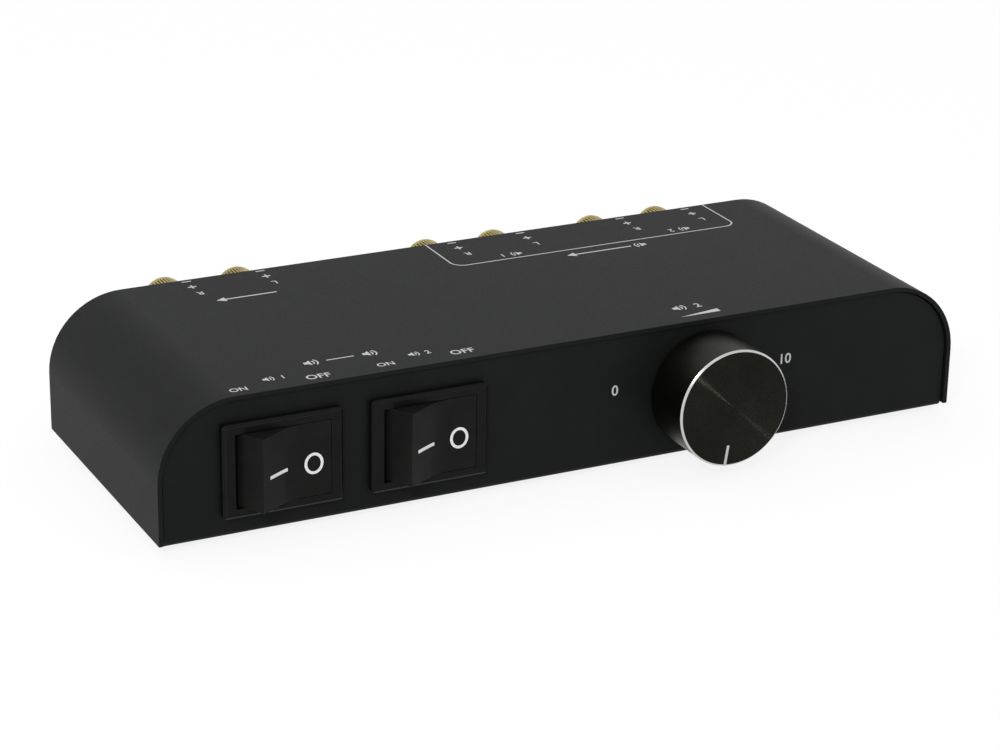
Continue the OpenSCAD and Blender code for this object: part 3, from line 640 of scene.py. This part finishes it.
def arrow(length, head, line):
    """A line with an arrow head at its right end."""
    neck, half = length / 2 - head, head * 0.55
    return [bar(length - head, line, -head / 2), slab([(neck, -half), (length / 2, 0), (neck, half)])]


def wedge(width, height):
    """The volume sign: a wedge that grows to the right."""
    return [slab([(-width / 2, -height / 2), (width / 2, -height / 2), (width / 2, height / 2)])]


def plus_sign(size, line):
    arm, out = (size - line) / 2, (size + line) / 4
    return [bar(size, line), bar(line, arm, 0, out), bar(line, arm, 0, -out)]


def shifted(meshes, x):
    for mesh in meshes:
        mesh.transform(Matrix.Translation((x, 0, 0)))
    return meshes


def merge(meshes):
    """Joins several bmeshes into one."""
    whole = bmesh.new()
    for mesh in meshes:
        data = bpy.data.meshes.new("part")
        mesh.to_mesh(data)
        mesh.free()
        whole.from_mesh(data)
        bpy.data.meshes.remove(data)
    return whole


# ---- where the signs are printed ----

FLAT = Matrix.Identity(3)
FROM_REAR = Matrix.Rotation(math.pi, 3, "Z")
UPRIGHT = Matrix.Rotation(math.pi / 2, 3, "X")


def middle_x(node):
    low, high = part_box(node)
    return (low.x + high.x) / 2 / MM


SWITCH_X = [middle_x(f"switch_{n}_housing") for n in SWITCHES]
COLUMNS = [middle_x(f"post_cap_{i}") for i in POSTS[::2]]
ARROW_HEAD = 2.6 * MM


def printed(signs, turn, at):
    """Moves a sign from its own plane to its place."""
    for mesh in signs:
        mesh.transform(Matrix.Translation(at) @ turn.to_4x4())
    return signs


def on_top(x, back):
    """A place on the cover's top, in millimetres, back from its front edge."""
    return Vector((x * MM, FRONT_Y + back * MM, TOP_Z))


def on_panel(x, up):
    """A place on the front panel, in millimetres."""
    return Vector((x * MM, PANEL_Y, up * MM))


def switch_signs():
    """ON and OFF over the ends of each rocker, and its number between them."""
    on_left, off_right, off_back = 9.7, 11.6, 0.3
    number_right, number_back = 1.4, 3.4
    signs = []
    for n, x, back in zip(SWITCHES, SWITCH_X, (3.7, 4.6)):
        number_at = back + number_back
        signs += printed([text_mesh("ON", 4.6 * MM)], FLAT, on_top(x - on_left, back))
        signs += printed([text_mesh("OFF", 6.5 * MM)], FLAT, on_top(x + off_right, back + off_back))
        signs += printed(shifted(loudspeaker(3.4 * MM), -1.9 * MM), FLAT, on_top(x + number_right, number_at))
        signs += printed([text_mesh(str(n), height=2.1 * MM)], FLAT, on_top(x + number_right + 2, number_at))
    apart, size = 8 * MM, 4.4 * MM
    pair = shifted(loudspeaker(size), -apart) + shifted(loudspeaker(size), apart) + [bar(7.5 * MM, LINE)]
    return signs + printed(pair, FLAT, on_top(-61.2, 13))


def volume_signs():
    """What the knob sets, over the knob, and the ends of its scale on the panel."""
    signs = printed(loudspeaker(4.4 * MM), FLAT, on_top(34.4, 10))
    signs += printed([text_mesh("2", height=2.6 * MM)], FLAT, on_top(40, 10))
    signs += printed(wedge(12 * MM, 2 * MM), FLAT, on_top(37.5, 4.8))
    for words, x, up in (("0", 11, 23.3), ("10", 62.6, 24.1)):
        signs += printed([text_mesh(words, height=2.9 * MM)], UPRIGHT, on_panel(x, up))
    return signs


def output_frame():
    """The printed line round the output signs: open at the rear edge, with round front corners."""
    left, right, front, radius, line = -5.4 * MM, 82.9 * MM, FRONT_Y + 62.9 * MM, 3.5 * MM, 0.42 * MM
    path = [(left, REAR_Y)] + arc(left + radius, front + radius, radius, 180, 270)
    path += arc(right - radius, front + radius, radius, 270, 360) + [(right, REAR_Y)]
    return printed([stroke(path, line)], FLAT, Vector((0, 0, TOP_Z)))


def post_signs():
    """Minus, plus and the channel at each column of posts; they are read from the rear."""
    minus_back, plus_back, channel_back, pair_back, input_back, output_back = 81, 76.6, 71.2, 65.9, 64.2, 58.7
    letter = 2.2 * MM
    signs = []
    for i, x in enumerate(COLUMNS):
        channel = "R" if i % 2 == 0 else "L"
        signs += printed([bar(2.6 * MM, SIGN_LINE)], FLAT, on_top(x, minus_back))
        signs += printed(plus_sign(2.4 * MM, SIGN_LINE), FLAT, on_top(x, plus_back))
        signs += printed([text_mesh(channel, height=letter)], FROM_REAR, on_top(x + 0.2, channel_back))
    for n, first in ((1, 2), (2, 4)):
        middle = (COLUMNS[first] + COLUMNS[first + 1]) / 2
        signs += printed(loudspeaker(3.6 * MM), FROM_REAR, on_top(middle + 2, pair_back))
        signs += printed([text_mesh(str(n), height=letter)], FROM_REAR, on_top(middle - 2.2, pair_back))
    middle = (COLUMNS[0] + COLUMNS[1]) / 2
    signs += printed(arrow(17 * MM, ARROW_HEAD, ARROW_LINE), FROM_REAR, on_top(middle, input_back))
    output = shifted(loudspeaker(4 * MM), -11 * MM)
    output += shifted(arrow(20 * MM, ARROW_HEAD, ARROW_LINE), 2 * MM)
    return signs + printed(output, FROM_REAR, on_top(38.6, output_back))


def print_on_case(paint):
    signs = switch_signs() + volume_signs() + output_frame() + post_signs()
    piece = add_piece("case_print", merge(signs), paint)
    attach(piece, "case")


CREASE_X = 1.795 * MM  # the crease between a rocker's facets, from the switch's middle
UP_THE_FACET = Vector((-9.357, -5.4, 0)).normalized()
MARKS_DOWN = 1.1 * MM  # the marks lie this far below the rocker's middle
BAR_MARK, BAR_WIDTH, BAR_UP = 6.7 * MM, 0.9 * MM, 4.9 * MM
BAR_STEPS = 12
RING_MARK, RING_X = (2.18 * MM, 2.5 * MM, 0.74 * MM), 7.9 * MM


def lay_on(mesh, piece, turn, at):
    """Moves a sign from its own plane to its place and lays it on a piece's surface there."""
    above = 2 * MM
    corners = [v.co for v in piece.data.vertices]
    skin = BVHTree.FromPolygons(corners, [tuple(p.vertices) for p in piece.data.polygons])
    out = turn @ Vector((0, 0, 1))
    raised = [v.co.z > 0 for v in mesh.verts]
    printed([mesh], turn, at)
    for v, up in zip(mesh.verts, raised):
        hit = skin.ray_cast(v.co + out * above, -out)[0]
        v.co = hit + out * (PRINT if up else -PRINT)
    return mesh


def print_on_rocker(n, rocker, paint):
    """A bar on the raised facet and a ring on the pressed one."""
    x = SWITCH_X[n - 1] * MM
    low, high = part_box(f"switch_{n}_rocker")
    height = (low.z + high.z) / 2 - MARKS_DOWN
    out = Vector((-UP_THE_FACET.y, UP_THE_FACET.x, 0))
    facet = Matrix((-UP_THE_FACET, Vector((0, 0, 1)), out)).transposed()
    crease = Vector((x + CREASE_X, BEZEL_Y, height))
    ring = lay_on(oval(*RING_MARK), rocker, UPRIGHT, Vector((x + RING_X, BEZEL_Y, height)))
    line = stroke([((i / BAR_STEPS - 0.5) * BAR_MARK, 0) for i in range(BAR_STEPS + 1)], BAR_WIDTH)
    line = lay_on(line, rocker, facet, crease + UP_THE_FACET * BAR_UP)
    piece = add_piece(f"switch_{n}_marks", merge([ring, line]), paint)
    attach(piece, f"rocker_{n}")


# ---- knob ----

BRIGHT_CUT = 0.5 * MM  # across and deep; the solid's own edge is cut off a little further
SOLID_CUT = 0.95 * MM  # the solid's own chamfer lies within this of its face and side
FACE_DEPTH = 0.02 * MM


def sharpen_rim(mesh):
    """Brings the two rims of the knob's chamfer to the bright cut's size."""
    for v in mesh.verts:
        out = Vector((v.co.x - KNOB_AXIS.x, 0, v.co.z - KNOB_AXIS.z))
        deep = v.co.y - knob_low.y
        if out.length > KNOB_RADIUS - SOLID_CUT and deep < SOLID_CUT:
            wanted = min(KNOB_RADIUS, KNOB_RADIUS - BRIGHT_CUT + deep)
            v.co += out.normalized() * (wanted - out.length)
            v.co.y = knob_low.y + min(deep, BRIGHT_CUT)


def finish_knob(face, cut, side, paint):
    """The pointer, and three cuts of one shell: the spun face, its bright chamfer and the satin side."""
    softened("knob_pointer", "knob", paint, 0.03 * MM, segments=1, angle=20, shape=sharpen_rim)
    piece = softened("knob_shell", "knob", face, 0.05 * MM, segments=1, angle=20, shape=sharpen_rim)
    piece.data.materials.append(cut)
    piece.data.materials.append(side)
    for polygon in piece.data.polygons:
        deep = polygon.center.y - knob_low.y
        out = math.hypot(polygon.center.x - KNOB_AXIS.x, polygon.center.z - KNOB_AXIS.z)
        if deep < FACE_DEPTH and out < KNOB_RADIUS - BRIGHT_CUT:
            polygon.material_index = 0
        elif deep < BRIGHT_CUT and out > KNOB_RADIUS - BRIGHT_CUT - NEAR:
            polygon.material_index = 1
        else:
            polygon.material_index = 2


# ---- geometry nodes ----

def node_of(tree, kind, **settings):
    node = tree.nodes.new(kind)
    for key, value in settings.items():
        setattr(node, key, value)
    return node


def fill(tree, node, values):
    """Sets a node's sockets, each from a number or from another node's output."""
    for socket, value in zip(node.inputs, values):
        if isinstance(value, (int, float)):
            socket.default_value = value
        else:
            tree.links.new(value, socket)
    return node.outputs[0]


def maths(tree, operation, first, second=0.0):
    return fill(tree, node_of(tree, "ShaderNodeMath", operation=operation), (first, second))


def vector_of(tree, x, y, z):
    return fill(tree, node_of(tree, "ShaderNodeCombineXYZ"), (x, y, z))


def new_tree(name, start, sizes, result):
    """An empty tree with named inputs; gives the tree and what its inputs hold."""
    tree = bpy.data.node_groups.new(name, "GeometryNodeTree")
    tree.interface.new_socket(start, in_out="INPUT", socket_type="NodeSocketGeometry")
    for size, kind in sizes:
        tree.interface.new_socket(size, in_out="INPUT", socket_type="NodeSocket" + kind)
    tree.interface.new_socket(result, in_out="OUTPUT", socket_type="NodeSocketGeometry")
    return tree, node_of(tree, "NodeGroupInput").outputs


def swept(tree, curve, radius, sides):
    """A closed rod round a curve."""
    section = node_of(tree, "GeometryNodeCurvePrimitiveCircle", mode="RADIUS")
    section.inputs["Resolution"].default_value = sides
    tree.links.new(radius, section.inputs["Radius"])
    rod = node_of(tree, "GeometryNodeCurveToMesh")
    rod.inputs["Fill Caps"].default_value = True
    tree.links.new(curve, rod.inputs["Curve"])
    tree.links.new(section.outputs[0], rod.inputs["Profile Curve"])
    return rod.outputs[0]


def end_tree(tree, geometry, mat):
    """Every tree ends in real geometry with its material."""
    real = node_of(tree, "GeometryNodeRealizeInstances")
    tree.links.new(geometry, real.inputs[0])
    painted = node_of(tree, "GeometryNodeSetMaterial")
    painted.inputs["Material"].default_value = mat
    tree.links.new(real.outputs[0], painted.inputs[0])
    tree.links.new(painted.outputs[0], node_of(tree, "NodeGroupOutput").inputs[0])


def run_tree(piece, tree, values):
    """Runs a tree on a piece, with its named inputs set by their sockets' identifiers."""
    modifier = piece.modifiers.new(tree.name, "NODES")
    modifier.node_group = tree
    for item in tree.interface.items_tree:
        if item.item_type == "SOCKET" and item.in_out == "INPUT" and item.name in values:
            modifier[item.identifier] = values[item.name]
    bake_modifiers(piece)


# ---- screw caps and studs of the posts ----

RIDGE_STEPS, RIDGE_SIDES = 7, 6
RIDGE_ENDS, RIDGE_FULLNESS = 1.9, 9.0  # a ridge keeps its height until close to its ends
THREAD_STEPS, THREAD_SIDES = 20, 4


def knurl_tree(mat):
    """Sets straight ridges round a turned core: each is a rod with tapered ends."""
    sizes = [("Ridges", "Int")] + [(name, "Float") for name in ("Radius", "Ridge Height", "From", "To",
                                                               "Axis X", "Axis Z")]
    tree, given = new_tree("straight_knurl", "Core", sizes, "Cap")
    links = tree.links
    line = node_of(tree, "GeometryNodeCurvePrimitiveLine")
    links.new(vector_of(tree, 0, given["From"], 0), line.inputs["Start"])
    links.new(vector_of(tree, 0, given["To"], 0), line.inputs["End"])
    steps = node_of(tree, "GeometryNodeResampleCurve")
    steps.inputs["Count"].default_value = RIDGE_STEPS
    links.new(line.outputs[0], steps.inputs["Curve"])
    along = node_of(tree, "GeometryNodeSplineParameter").outputs["Factor"]
    from_middle = maths(tree, "ABSOLUTE", maths(tree, "SUBTRACT", along, 0.5))
    to_end = maths(tree, "POWER", maths(tree, "MULTIPLY", from_middle, RIDGE_ENDS), RIDGE_FULLNESS)
    taper = node_of(tree, "GeometryNodeSetCurveRadius")
    links.new(steps.outputs[0], taper.inputs["Curve"])
    links.new(maths(tree, "SUBTRACT", 1.0, to_end), taper.inputs["Radius"])
    rod = swept(tree, taper.outputs[0], given["Ridge Height"], RIDGE_SIDES)
    points = node_of(tree, "GeometryNodePoints")
    links.new(given["Ridges"], points.inputs["Count"])
    index = node_of(tree, "GeometryNodeInputIndex").outputs[0]
    turn = maths(tree, "DIVIDE", maths(tree, "MULTIPLY", index, 2 * math.pi), given["Ridges"])
    reach = maths(tree, "SUBTRACT", given["Radius"], given["Ridge Height"])
    x = maths(tree, "ADD", given["Axis X"], maths(tree, "MULTIPLY", maths(tree, "SINE", turn), reach))
    z = maths(tree, "ADD", given["Axis Z"], maths(tree, "MULTIPLY", maths(tree, "COSINE", turn), reach))
    links.new(vector_of(tree, x, 0, z), points.inputs["Position"])
    spread = node_of(tree, "GeometryNodeInstanceOnPoints")
    links.new(points.outputs[0], spread.inputs["Points"])
    links.new(rod, spread.inputs["Instance"])
    links.new(vector_of(tree, 0, turn, 0), spread.inputs["Rotation"])
    join = node_of(tree, "GeometryNodeJoinGeometry")
    links.new(spread.outputs[0], join.inputs[0])
    links.new(given["Core"], join.inputs[0])
    end_tree(tree, join.outputs[0], mat)
    return tree


def thread_tree(mat):
    """A screw thread: one helical ridge with a sharp crest, about an axis along Y."""
    sizes = [(name, "Float") for name in ("Turns", "Root Radius", "Ridge Height", "Length", "Axis X", "From",
                                          "Axis Z")]
    tree, given = new_tree("screw_thread", "Start", sizes, "Thread")
    links = tree.links
    helix = node_of(tree, "GeometryNodeCurveSpiral")
    helix.inputs["Resolution"].default_value = THREAD_STEPS
    links.new(given["Turns"], helix.inputs["Rotations"])
    links.new(given["Root Radius"], helix.inputs["Start Radius"])
    links.new(given["Root Radius"], helix.inputs["End Radius"])
    links.new(given["Length"], helix.inputs["Height"])
    ridge = swept(tree, helix.outputs[0], given["Ridge Height"], THREAD_SIDES)
    laid = node_of(tree, "GeometryNodeTransform")
    laid.inputs["Rotation"].default_value = (-math.pi / 2, 0, 0)
    links.new(ridge, laid.inputs["Geometry"])
    placed = node_of(tree, "GeometryNodeTransform")
    at = vector_of(tree, given["Axis X"], given["From"], given["Axis Z"])
    links.new(at, placed.inputs["Translation"])
    links.new(laid.outputs[0], placed.inputs["Geometry"])
    end_tree(tree, placed.outputs[0], mat)
    return tree


CAP_BORE = 3.2 * MM  # radius of the hole for the stud
LAND_IN = 0.22 * MM  # the cap's plain ends lie this far inside the ridges' tops
WAIST_IN = 0.3 * MM  # the waist that carries the ridges lies this far inside the plain ends
FRONT_LAND, REAR_LAND = 1.2 * MM, 0.95 * MM  # how far the plain ends reach along the cap
RING_GAP = 0.15 * MM
RING_LIP = 0.12 * MM
RIDGES, RIDGE_HEIGHT = 44, 0.3 * MM
RIDGES_FROM, RIDGES_TO = 1.5 * MM, 1.2 * MM  # from the cap's front and rear ends
GROOVE_FLATNESS, SMALLEST_GROOVE = 0.1, 1 * MM ** 2  # tell the waist's long strips from other faces


def screw_cap(i, gold, groove_shade_gold, tree):
    """One knurled cap in its screwed-in place: a turned core with a recess for its ring, the knurl, and
    painted shade in the grooves between its ridges.
    """
    low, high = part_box(f"post_cap_{i}")
    ring_low, ring_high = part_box(f"post_ring_{i}")
    axis = (low + high) / 2
    radius = (high.x - low.x) / 2
    land = radius - LAND_IN
    waist = land - WAIST_IN
    recess = (ring_high.x - ring_low.x) / 2 + RING_GAP
    seat = ring_low.y - RING_GAP
    start, end = low.y, high.y
    profile = [(CAP_BORE, start), (land - 0.6 * MM, start), (land - 0.15 * MM, start + 0.15 * MM),
               (land, start + 0.6 * MM), (land, start + FRONT_LAND), (waist, start + FRONT_LAND + 0.25 * MM),
               (waist, end - REAR_LAND - 0.2 * MM), (land, end - REAR_LAND), (land, end - 0.45 * MM),
               (land - 0.12 * MM, end - 0.14 * MM), (land - 0.45 * MM, end), (recess + RING_LIP, end),
               (recess, end - RING_LIP), (recess, seat), (CAP_BORE, seat)]
    piece = add_piece(f"post_{i}_knurled_cap", lathe(profile, axis), gold)
    run_tree(piece, tree, {"Ridges": RIDGES, "Radius": radius, "Ridge Height": RIDGE_HEIGHT,
                           "From": start + RIDGES_FROM, "To": end - RIDGES_TO,
                           "Axis X": axis.x, "Axis Z": axis.z})
    piece.data.materials.clear()
    piece.data.materials.append(gold)
    piece.data.materials.append(groove_shade_gold)
    # the waist's strips between the ridges take the darker gold: painted shade in the grooves
    for polygon in piece.data.polygons:
        out = math.hypot(polygon.center.x - axis.x, polygon.center.z - axis.z)
        in_groove = abs(out - waist) < NEAR and abs(polygon.normal.y) < GROOVE_FLATNESS
        polygon.material_index = 1 if in_groove and polygon.area > SMALLEST_GROOVE else 0
    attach(piece, f"cap_{i}")
    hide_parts(f"post_cap_{i}")


THREAD_PITCH = 1 * MM
THREAD_ROOT = 2.97 * MM
THREAD_HEIGHT = 0.14 * MM
THREAD_FROM, THREAD_TO = 0.5 * MM, 2 * MM  # from the screwed-in cap's front and rear ends


def stud_thread(i, gold, tree):
    """The thread that shows on a post's stud when its cap is unscrewed."""
    low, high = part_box(f"post_cap_{i}")
    start, end = low.y + THREAD_FROM, high.y - THREAD_TO
    piece = add_piece(f"post_{i}_thread", bmesh.new(), gold)
    run_tree(piece, tree, {"Turns": (end - start) / THREAD_PITCH, "Root Radius": THREAD_ROOT,
                           "Ridge Height": THREAD_HEIGHT, "Length": end - start, "From": start,
                           "Axis X": (low.x + high.x) / 2, "Axis Z": (low.z + high.z) / 2})
    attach(piece, "case")


# ---- build ----

clear_scene()
make_camera()
make_world()
make_floor()
for row in SOFTBOXES:
    softbox(*row)
bpy.context.scene.view_settings.view_transform = "Standard"

coat = powder_coat()
# the lighter edge tones are partly wear and partly a painted highlight, strongest on the rocker's ridge
bezel_black = moulded_black("bezel_black", tone=15, rough=0.34, gloss=0.1, wear_and_highlight_tone=46)
rocker_black = moulded_black("rocker_black", tone=24, rough=0.34, gloss=0.06, wear_and_highlight_tone=70)
anodised_side = spun("anodised_side", linear(37, 37, 34), linear(43, 43, 39), rough=0.4, stretched=0.4).mat
anodised_face = faced("anodised_face", linear(27, 27, 23), linear(32, 32, 27), rough=0.27, inward=0.9,
                      outward=1.25)
bright_cut = spun("bright_cut", grey(186), grey(205), rough=0.22, stretched=0.3).mat
gold = metal("gold_plate", (0.33, 0.262, 0.1), (0.44, 0.358, 0.142), rough=0.27)
# a darker gold: painted shade for the grooves between the knurl's ridges
groove_shade_gold = metal("gold_in_grooves", (0.13, 0.1, 0.035), (0.18, 0.14, 0.05), rough=0.4)
zinc = metal("zinc_plate", (0.5, 0.5, 0.52), (0.66, 0.67, 0.69), rough=0.3)
brass = metal("bare_brass", (0.6, 0.44, 0.2), (0.74, 0.58, 0.3), rough=0.32)
tin = metal("tinned_copper", (0.6, 0.59, 0.56), (0.75, 0.74, 0.72), rough=0.35)
red = plastic("red_plastic", (0.42, 0.01, 0.01), (0.52, 0.015, 0.015))
post_black = plastic("black_post_plastic", grey(20), grey(26))
phenolic = plastic("phenolic_board", (0.2, 0.1, 0.04), (0.3, 0.16, 0.07), rough=0.45)
white_ink = ink("white_ink", 236)
grey_ink = ink("grey_ink", 200)

SLOT_FINISH = {
    "rubber_black": rubber(), "steel_plated": zinc, "tinned_copper": tin, "brass_bare": brass,
    "phenolic": phenolic, "red_plastic": red, "post_black_plastic": post_black, "gold_plate": gold,
    "black_plastic": bezel_black, "powder_coated_steel": coat, "white_paint": white_ink,
    "black_anodised": anodised_side, "red_wire": red, "black_wire": post_black,
}
for row in frame["record"]["subparts"]:
    dress(row["node"], SLOT_FINISH[row["material_slot"]])

softened("cover", "case", coat, 0.18 * MM)
softened("chassis", "case", coat, 0.15 * MM)
for n in SWITCHES:
    softened(f"switch_{n}_housing", "case", bezel_black, 0.35 * MM, segments=3, shape=round_bezel(n))
    rocker = softened(f"switch_{n}_rocker", f"rocker_{n}", rocker_black, 0.5 * MM, segments=4,
                      shape=blend_facets)
    print_on_rocker(n, rocker, white_ink)
print_on_case(grey_ink)
finish_knob(anodised_face, bright_cut, anodised_side, grey_ink)
knurl, thread = knurl_tree(gold), thread_tree(gold)
for i in POSTS:
    screw_cap(i, gold, groove_shade_gold, knurl)
    stud_thread(i, gold, thread)
